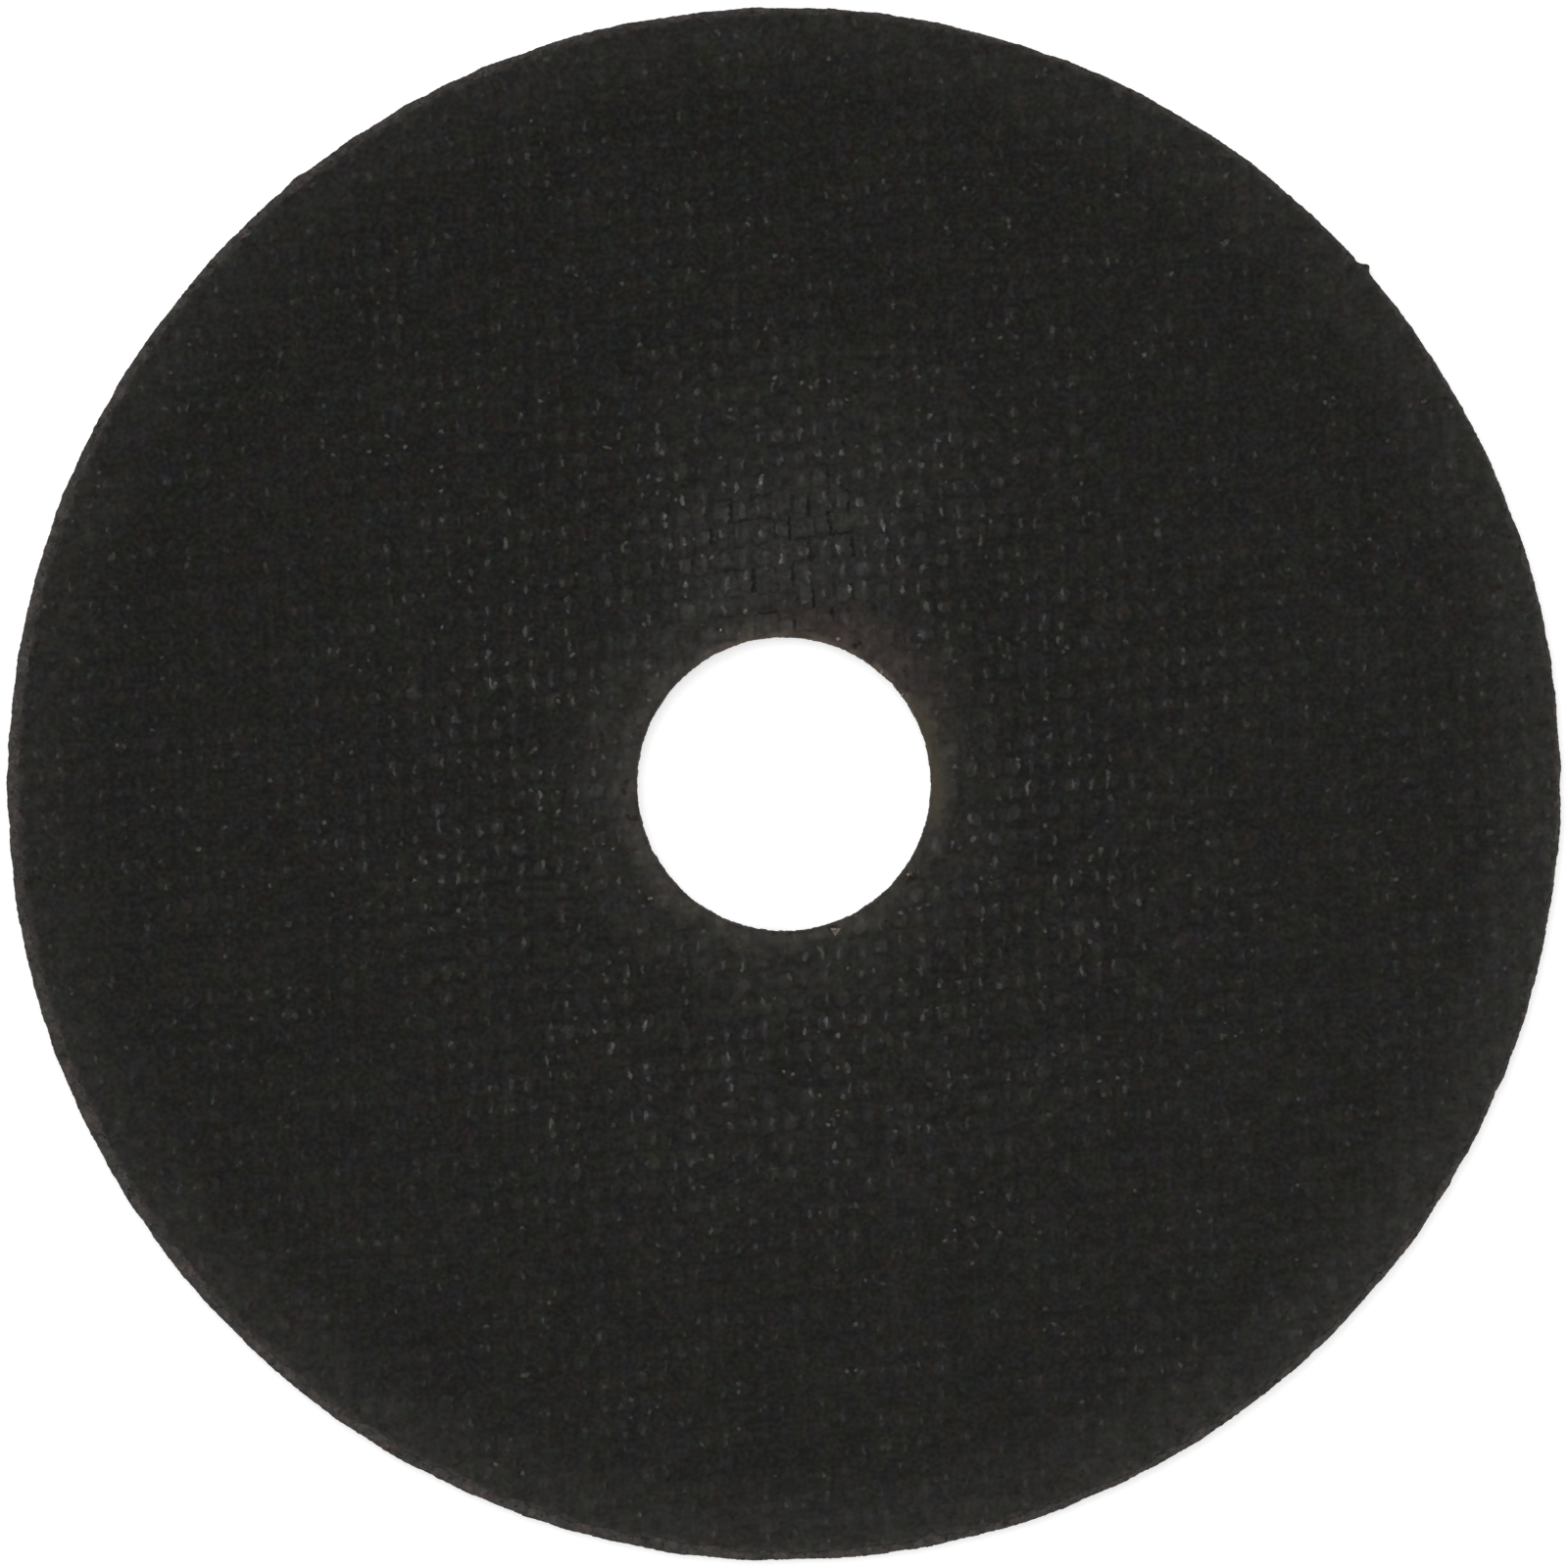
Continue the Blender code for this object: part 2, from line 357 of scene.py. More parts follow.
def bridge(outer, inner, places, first_up):
    """Triangles that close the flat ring between two loops of points, joined in order of angle."""
    def in_order(loop):
        angles = np.arctan2(places[loop, 1], places[loop, 0])
        order = np.argsort(angles)
        return loop[order].tolist(), angles[order].tolist()

    outer, outer_angle = in_order(outer)
    inner, inner_angle = in_order(inner)
    outer_angle.append(outer_angle[0] + math.tau)
    inner_angle.append(inner_angle[0] + math.tau)
    a = 0
    b = 0
    faces = []
    while a < len(outer) or b < len(inner):
        here = outer[a % len(outer)]
        there = inner[b % len(inner)]
        if b == len(inner) or (a < len(outer) and outer_angle[a + 1] <= inner_angle[b + 1]):
            a += 1
            face = (here, outer[a % len(outer)], there)
        else:
            b += 1
            face = (here, inner[b % len(inner)], there)
        faces.append(face if first_up else face[::-1])
    return faces


def cloth_face(name, side, seed, stops, material):
    """One woven face: a closed slab with the relief on its outer side and cut edges all round."""
    def lattice_line(reach, places):
        return np.sort((np.arange(-reach, reach)[:, None] + np.array(places)[None, :]).ravel())

    u_line = lattice_line(int(WHEEL_RADIUS / WARP_PITCH) + 3, WARP_STOPS)
    v_line = lattice_line(int(WHEEL_RADIUS / WEFT_PITCH) + 6, stops)
    u, v = np.meshgrid(u_line, v_line)
    columns = len(u_line)
    x, y = thread_place(u.ravel(), v.ravel())
    radius = np.hypot(x, y)
    patch = patch_share(x, y) if side > 0 else np.zeros_like(x)
    depth = face_depth(x, y, seed, patch)
    points = np.column_stack([x, y])

    corner = (np.arange(len(v_line) - 1)[:, None] * columns + np.arange(columns - 1)[None, :]).ravel()
    quads = np.column_stack([corner, corner + 1, corner + 1 + columns, corner + columns])
    triangles = np.vstack([quads[:, [0, 1, 2]], quads[:, [0, 2, 3]]])
    nearest = radius[triangles].min(axis=1)
    farthest = radius[triangles].max(axis=1)
    triangles = triangles[(nearest < WHEEL_RADIUS) & (farthest > CLOTH_INNER_RADIUS - 0.2)]
    values = depth[:, None]

    from_centre = points - CLOTH_CENTRE
    angle = np.arctan2(from_centre[:, 1], from_centre[:, 0])
    along = angle * WHEEL_RADIUS
    ragged = np.zeros_like(angle)
    for height, size, own in RAGGED_LAYERS:
        ragged += height * (soft_noise(along, np.zeros_like(angle), size, seed + own) - 0.5)
    outer = np.hypot(from_centre[:, 0], from_centre[:, 1]) - CLOTH_RADIUS - ragged
    outer[np.abs(outer) < SNAP_REACH] = JUST_INSIDE
    points, values, triangles = clip(points, values, triangles, outer)
    inner = CLOTH_INNER_RADIUS - np.hypot(points[:, 0], points[:, 1])
    inner[np.abs(inner) < SNAP_REACH] = JUST_INSIDE
    points, values, triangles = clip(points, values, triangles, inner)

    height = THICKNESS - CREST_DEPTH - values[:, 0]
    sunk = THICKNESS - SLAB_DEPTH
    if side < 0:
        height = THICKNESS - height
        sunk = THICKNESS - sunk
        triangles = triangles[:, ::-1]
    top = np.column_stack([points, height])
    border = border_loops(triangles)
    edge_points = np.unique(border)
    lower = top[edge_points].copy()
    lower[:, 2] = sunk
    lower_of = dict(zip(edge_points.tolist(), range(len(top), len(top) + len(edge_points))))
    walls = [(lower_of[a], lower_of[b], b, a) for a, b in border.tolist()]
    everything = np.vstack([top, lower])
    lower_ids = np.arange(len(top), len(everything))
    far_out = np.hypot(lower[:, 0], lower[:, 1]) > (CLOTH_INNER_RADIUS + WHEEL_RADIUS) / 2
    under = bridge(lower_ids[far_out], lower_ids[~far_out], everything, side < 0)
    return new_piece(name, everything, triangles.tolist() + walls + under, material, 75.0)


def walk(corners):
    """Points along a closed section, with the outward normal of each.

    Each corner has its radius and height, and how far apart the points after it lie.
    """
    points = []
    normals = []
    count = len(corners)
    for number in range(count):
        start = np.array(corners[number][:2])
        end = np.array(corners[(number + 1) % count][:2])
        length = np.linalg.norm(end - start)
        parts = max(1, int(round(length / corners[number][2])))
        along = (end - start) / length
        normal = np.array([-along[1], along[0]])
        for part in range(parts):
            points.append(start + (end - start) * part / parts)
            normals.append(normal)
    points = np.array(points)
    normals = np.array(normals)
    blended = normals + np.roll(normals, 1, axis=0)
    return points, blended / np.linalg.norm(blended, axis=1)[:, None]


def turned_piece(name, section, normals, sides, sink, material):
    """Closed ring from a section, sunk along its normals by sink(angle, row, radius, height)."""
    angle = math.tau * np.arange(sides) / sides
    angles, rows = np.meshgrid(angle, np.arange(len(section)), indexing="ij")
    radius = np.broadcast_to(section[:, 0], angles.shape)
    height = np.broadcast_to(section[:, 1], angles.shape)
    depth = sink(angles, rows, radius, height)
    radius = radius - depth * normals[:, 0]
    height = height - depth * normals[:, 1]
    points = np.stack([radius * np.cos(angles), radius * np.sin(angles), height], axis=-1).reshape(-1, 3)
    index = np.arange(len(points)).reshape(sides, -1)
    right = np.roll(index, -1, axis=0)
    quads = np.stack([index, np.roll(index, -1, axis=1), np.roll(right, -1, axis=1), right], axis=-1)
    return new_piece(name, points, quads.reshape(-1, 4).tolist(), material, 60.0)


def hub_piece(material):
    """Resin land on both faces, joined by the bore's raw punched wall."""
    corners = [
        (BORE_RADIUS, BORE_EDGE_BREAK, HUB_STEP),
        (BORE_RADIUS, THICKNESS - BORE_EDGE_BREAK, HUB_STEP),
        (BORE_RADIUS + BORE_EDGE_BREAK, THICKNESS, HUB_STEP),
        (HUB_RADIUS, THICKNESS, PLAIN_STEP),
        (HUB_RADIUS, 0.0, HUB_STEP),
        (BORE_RADIUS + BORE_EDGE_BREAK, 0.0, HUB_STEP),
    ]
    section, normals = walk(corners)

    def sink(angles, rows, radius, height):
        x = radius * np.cos(angles)
        y = radius * np.sin(angles)
        on_face = smooth_step(BORE_RADIUS + 0.02, BORE_RADIUS + 0.3, radius)
        is_front = height > THICKNESS / 2
        shift = np.where(is_front, 0.0, 400.0)
        uneven = radius + 1.1 * (soft_noise(x + shift, y, 1.3, 51) - 0.5)
        uneven = uneven + 0.5 * (soft_noise(x + shift, y, 0.5, 57) - 0.5)
        front = face_depth(x, y, FRONT_SEED, patch_share(x, y))
        back = face_depth(x, y, BACK_SEED, np.zeros_like(x))
        threads = CREST_DEPTH + np.where(is_front, front, back)
        threads = threads * smooth_step(4.8, 5.9, uneven) + 0.10 * smooth_step(6.3, 6.9, radius)
        pits = 0.020 * soft_noise(x + shift, y, 0.25, 52)
        pits = pits + GRAIN_DEPTH * (1 - grains(x + shift, y, 0.2, 53))
        pits = pits * smooth_step(6.3, 5.6, radius)
        near_edge = 1 - smooth_step(BORE_RADIUS, BORE_RADIUS + 0.35, radius)
        edge = 0.05 * soft_noise(angles * BORE_RADIUS, height, 0.35, 54) * near_edge
        wall = 0.045 * (1 - grains(angles * BORE_RADIUS, height, 0.17, 55))
        return (threads + pits) * on_face + wall * (1 - on_face) + edge

    return turned_piece("hub_land", section, normals, HUB_SIDES, sink, material)


def rim_piece(material):
    """Raw rim: the grain that shows past the cloth's edge on both faces and round the wheel."""
    top = THICKNESS - SHOULDER_DEPTH
    bottom = SHOULDER_DEPTH
    corners = [
        (RIM_INNER_RADIUS, bottom, PLAIN_STEP),
        (RIM_INNER_RADIUS, top, RIM_STEP),
        (WHEEL_RADIUS - RIM_EDGE_BREAK, top, RIM_STEP),
        (WHEEL_RADIUS, top - RIM_EDGE_BREAK, RIM_WALL_STEP),
        (WHEEL_RADIUS, bottom + RIM_EDGE_BREAK, RIM_STEP),
        (WHEEL_RADIUS - RIM_EDGE_BREAK, bottom, RIM_STEP),
    ]
    section, normals = walk(corners)
    lengths = np.hypot(*(np.roll(section, -1, axis=0) - section).T)
    place = np.concatenate([[0], np.cumsum(lengths)[:-1]])
    size = math.tau * WHEEL_RADIUS / GRAINS_ROUND
    coarse_round = round(GRAINS_ROUND / COARSE_GRAIN)

    def swell(angles, direction, half_width, height):
        return np.exp(-(((np.degrees(angles) - direction) / half_width) ** 2)) * height

    def sink(angles, rows, radius, height):
        along = angles * WHEEL_RADIUS
        across = place[rows]
        grain = grains(along, across, size, 61, cells_round=GRAINS_ROUND)
        coarse = grains(along, across, size * COARSE_GRAIN, 65, cells_round=coarse_round)
        scallop = sum(deep * (periodic_noise(angles, count, own) - 0.5) for deep, count, own in SCALLOPS)
        depth = 0.079 - 0.040 * grain - 0.022 * coarse
        outside = smooth_step(WHEEL_RADIUS - 0.2, WHEEL_RADIUS, radius)
        return depth + (scallop - swell(angles, *BURR) - swell(angles, *SWELLING)) * outside

    return turned_piece("raw_rim", section, normals, RIM_SIDES, sink, material)


def sliver_piece(material):
    """Slivers of bare glass fibre and a chip, bedded in the top face."""
    points = []
    faces = []
    levels = ((1.0, THICKNESS - 0.2), (1.0, THICKNESS - 0.025), (0.6, THICKNESS - 0.002))
    for pixel_x, pixel_y, length, width, turn, corners in SLIVERS:
        centre_x = (pixel_x - CENTRE_PIXEL[0]) * MM_PER_PIXEL
        centre_y = (CENTRE_PIXEL[1] - pixel_y) * MM_PER_PIXEL
        along = np.array([math.cos(math.radians(turn)), math.sin(math.radians(turn))])
        aside = np.array([-along[1], along[0]])
        first = len(points)
        for scale, height in levels:
            for corner in range(corners):
                angle = math.tau * corner / corners
                random = float(whole_hash(np.array(pixel_x + corner), np.array(pixel_y), 81))
                uneven = 1.0 + 0.25 * (random - 0.5)
                reach_along = 0.5 * length * MM_PER_PIXEL * scale * uneven * math.cos(angle)
                reach_aside = 0.5 * width * MM_PER_PIXEL * scale * uneven * math.sin(angle)
                spot = reach_along * along + reach_aside * aside
                points.append((centre_x + spot[0], centre_y + spot[1], height))
        for level in (0, 1):
            for corner in range(corners):
                here = first + level * corners + corner
                there = first + level * corners + (corner + 1) % corners
                faces.append((here, there, there + corners, here + corners))
        faces.append(tuple(range(first + 2 * corners, first + 3 * corners)))
        faces.append(tuple(reversed(range(first, first + corners))))
    return new_piece("bare_fibres", np.array(points), faces, material, 50.0)


def feed(target, value):
    """Give a node's input a signal or a fixed value."""
    if isinstance(value, Signal):
        target.id_data.links.new(value.socket, target)
    else:
        target.default_value = value


def add_node(tree, kind, inputs, output=0, **settings):
    """Add a node, feed its inputs, named or numbered, and return one of its outputs as a signal."""
    made = tree.nodes.new(kind)
    for key, value in settings.items():
        setattr(made, key, value)
    for key, value in inputs.items():
        feed(made.inputs[key], value)
    return Signal(made.outputs[output])


class Signal:
    """An output of a shader node. Each method and sum adds nodes to the same tree."""

    def __init__(self, socket):
        self.socket = socket

    def other(self, output):
        """Another output of the same node."""
        return Signal(self.socket.node.outputs[output])

    def node(self, kind, inputs, output=0, **settings):
        """One more node in the same tree."""
        return add_node(self.socket.id_data, kind, inputs, output, **settings)

    def math(self, operation, *values, **settings):
        """One math node on these values."""
        return self.node("ShaderNodeMath", dict(enumerate(values)), operation=operation, **settings)

    def __add__(self, value):
        return self.math("ADD", self, value)

    def __sub__(self, value):
        return self.math("SUBTRACT", self, value)

    def __rsub__(self, value):
        return self.math("SUBTRACT", value, self)

    def __mul__(self, value):
        return self.math("MULTIPLY", self, value)

    def __truediv__(self, value):
        return self.math("DIVIDE", self, value)

    def __pow__(self, value):
        return self.math("POWER", self, value)

    def __abs__(self):
        return self.math("ABSOLUTE", self)

    def greatest(self, value):
        """The greater of this and another value."""
        return self.math("MAXIMUM", self, value)

    def vector_math(self, operation, inputs, output=0):
        """One vector math node, which takes this as its first vector."""
        return self.node("ShaderNodeVectorMath", {0: self, **inputs}, output, operation=operation)

    def scaled(self, factors):
        """A vector whose axes are multiplied one by one."""
        return self.vector_math("MULTIPLY", {1: factors})

    def moved(self, shift):
        """A vector with another added."""
        return self.vector_math("ADD", {1: shift})

    def length(self):
        """Length of a vector."""
        return self.vector_math("LENGTH", {}, "Value")

    def along(self, direction):
        """Distance along a level direction."""
        return self.vector_math("DOT_PRODUCT", {1: (*direction, 0.0)}, "Value")

    def times(self, factor):
        """A colour made brighter or darker by a factor."""
        return self.vector_math("SCALE", {"Scale": factor})

    def added(self, amount, tint):
        """A colour with some of a tint added."""
        return amount.vector_math("MULTIPLY_ADD", {1: tint, 2: self})

    def strayed(self, noise, reach):
        """A vector or colour with each part pushed to and fro by noise, at most by its own reach."""
        pushed = self.added(noise, tuple(2.0 * value for value in reach))
        return pushed.moved(tuple(-value for value in reach))

    def parts(self):
        """The three parts of a vector or colour."""
        first = self.node("ShaderNodeSeparateXYZ", {0: self})
        return first, first.other(1), first.other(2)

    def bearing(self):
        """Angle round the axis, anticlockwise from +X."""
        x, y, _ = self.parts()
        return self.math("ARCTAN2", y, x)

    def toward(self, direction, far, near):
        """1 where this bearing is near a direction and 0 far from it, all in radians."""
        return abs(self - direction).ramp(far, near)

    def ramp(self, low, high, to_low=0.0, to_high=1.0):
        """Map a range onto another with smooth ends."""
        inputs = {"Value": self, "From Min": low, "From Max": high, "To Min": to_low, "To Max": to_high}
        return self.node("ShaderNodeMapRange", inputs, interpolation_type="SMOOTHSTEP")

    def noise(self, scale, detail=3.0, rough=0.55, output="Fac"):
        """Noise of that many patches a millimetre."""
        inputs = {"Vector": self, "Scale": scale, "Detail": detail, "Roughness": rough}
        return self.node("ShaderNodeTexNoise", inputs, output)

    def spots(self, noise, fade):
        """Noise drawn out by a ramp, so that it shows as spots."""
        return self.noise(*noise).ramp(*fade)

    def noise_colour(self, scale, detail):
        """Noise with its own value in each colour channel."""
        return self.noise(scale, detail, 0.5, "Color")

    def cells(self, scale):
        """Distance to the nearest point of a pattern with that many cells a millimetre."""
        return self.node("ShaderNodeTexVoronoi", {"Vector": self, "Scale": scale})

    def warped(self, noise, share):
        """A value pushed to and fro by noise."""
        return self + (noise - 0.5) * share

    def band(self, centre, half_width):
        """1 where a value is at a centre, falling to 0 half a width away."""
        return abs(self - centre).ramp(half_width, half_width * 0.3)

    def mix(self, first, second):
        """Mix of two colours by this share. Each is a signal or three numbers."""
        inputs = {0: self}
        for number, colour in ((6, first), (7, second)):
            inputs[number] = (*colour, 1.0) if isinstance(colour, tuple) else colour
        return self.node("ShaderNodeMix", inputs, 2, data_type="RGBA")

    def choose(self, first, second):
        """Mix of two numbers by this share."""
        return self.node("ShaderNodeMix", {0: self, 2: first, 3: second}, data_type="FLOAT")

    def bump(self, distance, strength, normal=None):
        """Bump whose height of 1 is distance in millimetres."""
        inputs = {"Height": self, "Distance": distance * MM, "Strength": strength}
        if normal is not None:
            inputs["Normal"] = normal
        return self.node("ShaderNodeBump", inputs)


def start_material(name):
    """A new material, and its object coordinates in millimetres."""
    material = bpy.data.materials.new(name)
    material.use_nodes = True
    place = add_node(material.node_tree, "ShaderNodeTexCoord", {}, "Object")
    return material, place.times(1.0 / MM)


def finish_material(material, colour, roughness, normal, specular):
    """Connect the finished values to a material's surface."""
    surface = material.node_tree.nodes["Principled BSDF"]
    feed(surface.inputs["Base Color"], colour)
    feed(surface.inputs["Roughness"], roughness)
    feed(surface.inputs["Normal"], normal)
    surface.inputs["Specular IOR Level"].default_value = specular
    return material


def level_direction(degrees):
    """Unit vector of a direction in the wheel's plane, anticlockwise from +X."""
    return math.cos(math.radians(degrees)), math.sin(math.radians(degrees))


# Each fade below is a ramp: where it starts and ends, then its values there if they aren't 0 and 1.
# Fades are in millimetres from the axis. Sides have a direction first and are in radians, or are
# shares of a direction. A noise has its patches a millimetre, detail and roughness, and spots are
# a noise with its ramp.
LEVEL = (1.0, 1.0, 0.0)

# Weave of a face
SLOW_STRAY = (1.6, 0.0)
QUICK_STRAY = (6.0, 1.0)
SLOW_REACH = 0.34
QUICK_REACH = (0.24, 0.28)
WEFT_CROWN = (0.36, 0.31, 3.0)
WARP_CROWN = (0.18, 0.40, 2.0)
CROWN_EDGE = (1.25, 0.35)
SPECK_EDGE = (1.2, 0.3)
SPECK_WIDTH = 0.110
SPECK_HEIGHT_FADE = (11.0, 17.0, 0.22, 0.15)
ROUND_SPECK = (0.135, 0.115)
RANDOM_SHIFTS = ((0.0, 0.0, 0.0), (37.0, 11.0, 0.0), (-23.0, 59.0, 0.0))

# Cracks, darkened partly as real cracks between threads and partly as painted shadow, which is why
# each line is heavier at the right and below a crossing: how far each line lies from the middle of a
# crossing and how wide it is, then how deep its fainter twin on the far side is
RIGHT_CRACK = (0.42, 0.18)
LEFT_CRACK = (-0.42, 0.16)
LOWER_CRACK = (-0.44, 0.13)
UPPER_CRACK = (0.47, 0.09)
TWIN_CRACK_SHARE = 0.55


def oval(across, up, half_across, half_up, power):
    """1 inside a rounded box and 0 outside it."""
    return ((across / half_across) ** power + (up / half_up) ** power).ramp(*CROWN_EDGE)


def speck(off_u, off_v, random, reach_across, reach_up, half_across, half_up):
    """An upright oval at a random spot of a crossing, and a random number for its strength."""
    spot_across, spot_up, strength = random.parts()
    across = (off_u - (spot_across - 0.5) * reach_across) / half_across
    up = (off_v - (spot_up - 0.5) * reach_up) / half_up
    return (across * across + up * up).ramp(*SPECK_EDGE), strength


def threads(place, speck_height):
    """Crowns of the weave, pale specks on them that are partly painted glints, three random numbers each,
    and the cracks, heavier on the sides where painted shadow falls.
    """
    warp_distance = place.along(WARP_NORMAL)
    weft_distance = place.along(WEFT_NORMAL)
    turn = (warp_distance - WEFT_WAVE_CREST) * (math.tau / WEFT_WAVE_LENGTH)
    wave = turn.math("COSINE", turn) * WEFT_WAVE_HEIGHT
    slow = place.noise_colour(*SLOW_STRAY).parts()
    quick = place.noise_colour(*QUICK_STRAY).parts()
    u = warp_distance / WARP_PITCH + WARP_PHASE
    u = u.warped(slow[0], SLOW_REACH).warped(quick[0], QUICK_REACH[0])
    v = (weft_distance - wave) / WEFT_PITCH + WEFT_PHASE
    v = v.warped(slow[1], SLOW_REACH).warped(quick[1], QUICK_REACH[1])
    i = u.math("ROUND", u)
    j = v.math("ROUND", v)
    off_u = u - i
    off_v = v - j
    odd = i.math("FLOORED_MODULO", i + j, 2.0)
    across = abs(off_u)
    up = abs(off_v)
    crown = odd.choose(oval(across, up, *WEFT_CROWN), oval(across, up, *WARP_CROWN))

    pair = i.node("ShaderNodeCombineXYZ", {0: i, 1: j})
    randoms = []
    for shift in RANDOM_SHIFTS:
        inputs = {"Vector": pair.moved(shift)}
        randoms.append(pair.node("ShaderNodeTexWhiteNoise", inputs, "Color", noise_dimensions="2D"))
    reach_across = 0.60 - odd * 0.30
    reach_up = odd * 0.12 + 0.50
    upright, chance = speck(off_u, off_v, randoms[1], reach_across, reach_up, SPECK_WIDTH, speck_height)
    specks = upright * chance ** 2.0
    rounder, chance = speck(off_u, off_v, randoms[2], reach_across, reach_up, *ROUND_SPECK)
    specks = specks.greatest(rounder * chance ** 3.0)

    chances = randoms[0].parts()
    # Dark lines between threads, partly real cracks and partly painted shadow at the right and below
    upright = off_u.band(*RIGHT_CRACK).greatest(off_u.band(*LEFT_CRACK) * TWIN_CRACK_SHARE)
    upright = upright * (1.0 - odd) * chances[1].ramp(0.22, 0.45)
    level = off_v.band(*LOWER_CRACK).greatest(off_v.band(*UPPER_CRACK) * TWIN_CRACK_SHARE)
    level = level * chances[2].ramp(0.62, 0.84)
    return crown, specks, chances, upright.greatest(level)


# Resin by distance from the axis
DARK_RESIN = (0.0063, 0.0062, 0.0047)
PALE_RESIN = (0.0085, 0.0084, 0.0066)
BORE_GREY = (0.0170, 0.0164, 0.0138)
BORE_BROWN = (0.0400, 0.0356, 0.0297)
RIM_GREY = (0.0172, 0.0167, 0.0143)
BORE_GREY_FADE = (8.4, 5.4, 0.0, 0.8)
BORE_BROWN_FADE = (5.8, 4.9, 0.0, 0.75)
# Direction toward which the broad light paints the wheel in shade
SHADED_CORNER = level_direction(120.0)
RIM_GREY_FADE = (22.0, 25.2)
RIM_GREY_LAST_FADE = (24.5, 25.2, 0.0, 0.75)
RIM_GREY_BY_CORNER = (-0.5, 0.6, 1.0, 0.66)
RIM_GREY_NOISE = (3.4, 3.0, 0.7)
RIM_GREY_STRAY = 1.1


def radial_colour(place, radius, base):
    """Resin's colour by distance from the axis: paler and browner at the bore, greyer at the rim."""
    colour = radius.ramp(*BORE_GREY_FADE).mix(base, BORE_GREY)
    colour = radius.ramp(*BORE_BROWN_FADE).mix(colour, BORE_BROWN)
    corner = place.along(SHADED_CORNER) / WHEEL_RADIUS
    outward = place.scaled(LEVEL).length().warped(place.noise(*RIM_GREY_NOISE), RIM_GREY_STRAY)
    greying = outward.ramp(*RIM_GREY_FADE) * corner.ramp(*RIM_GREY_BY_CORNER)
    greying = greying.greatest(outward.ramp(*RIM_GREY_LAST_FADE))
    return greying.mix(colour, RIM_GREY)


# Painted light and shade, added to the resin's colour: a painted sheen in a fan above the bore and in
# a band below it, painted shade at its right, a painted highlight (a glow) at its left, painted shade
# toward the wheel's shaded corner with painted light at the far side, and a little more painted light
# within about 14 mm of the axis
BROAD_LIGHT = (0.0074, 0.0074, 0.0069)
SHEEN_FAN_SIDES = (1.46, 0.72, 0.08)
SHEEN_FAN_OUTER_FADE = (16.5, 8.5)
SHEEN_FAN_INNER_FADE = (5.0, 9.2, 0.05, 1.0)
SHEEN_FAN_SHARE = 0.95
SHEEN_BAND_SIDES = (-1.45, 0.70, 0.20)
SHEEN_BAND_INNER_FADE = (5.0, 7.0)
SHEEN_BAND_OUTER_FADE = (15.5, 12.5)
SHEEN_BAND_SHARE = 0.21
SHADE_SIDES = (0.25, 0.65, 0.25)
SHADE_OUTER_FADE = (8.4, 6.8)
SHADE_INNER_FADE = (5.6, 6.3)
SHADE_SHARE = 0.14
GLOW_DIRECTION = level_direction(138.0)
GLOW_SIDES = (0.50, 0.90)
GLOW_OUTER_FADE = (7.4, 5.8)
GLOW_SHARE = 0.45
CORNER_SHADE_SHARE = 0.20
EVEN_LIGHT = (15.2, 13.4, 0.86, 0.92)


def broad_light(place, bearing, radius):
    """The painted sheen fan above the bore, and the painted light and shade of the resin by place."""
    # Painted sheen in a fan above the bore
    sheen_fan = bearing.toward(*SHEEN_FAN_SIDES)
    sheen_fan = sheen_fan * radius.ramp(*SHEEN_FAN_OUTER_FADE) * radius.ramp(*SHEEN_FAN_INNER_FADE)
    # Painted sheen in a band below the bore
    band = bearing.toward(*SHEEN_BAND_SIDES)
    band = band * radius.ramp(*SHEEN_BAND_INNER_FADE) * radius.ramp(*SHEEN_BAND_OUTER_FADE)
    # Painted shade at the right of the bore
    shade = bearing.toward(*SHADE_SIDES)
    shade = shade * radius.ramp(*SHADE_OUTER_FADE) * radius.ramp(*SHADE_INNER_FADE)
    # Painted highlight, a glow, at the left of the bore
    glow = (place.along(GLOW_DIRECTION) / radius).ramp(*GLOW_SIDES) * radius.ramp(*GLOW_OUTER_FADE)
    # Painted shade toward the shaded corner, painted light toward the far side
    corner = place.along(SHADED_CORNER) / WHEEL_RADIUS
    light = sheen_fan * SHEEN_FAN_SHARE + band * SHEEN_BAND_SHARE + glow * GLOW_SHARE
    light = light - corner * CORNER_SHADE_SHARE - shade * SHADE_SHARE
    return sheen_fan, light + radius.ramp(*EVEN_LIGHT)


# Punched edge of the bore
TORN_TAN = (0.1250, 0.0920, 0.0690)
TORN_OLIVE = (0.0560, 0.0480, 0.0300)
PUNCHED_EDGE = (0.0700, 0.0630, 0.0530)
FRINGE_NOISE = (3.0, 2.0)
FRINGE_STRAY = 0.30
FRINGE_DIRECTION = level_direction(60.0)
FRINGE_SIDES = (0.20, 0.75)
FRINGE_FADE = (BORE_RADIUS + 0.30, BORE_RADIUS + 0.02)
TORN_SPOTS = ((1.5, 2.0), (0.40, 0.58, 0.20, 0.90))
OLIVE_DIRECTION = (0.98, 0.17)
OLIVE_SIDES = (0.86, 0.97)
OLIVE_FADE = (BORE_RADIUS + 0.72, BORE_RADIUS + 0.16)
OLIVE_SHARE = 0.7
PUNCHED_FADE = (BORE_RADIUS + 0.14, BORE_RADIUS + 0.04, 0.0, 0.5)


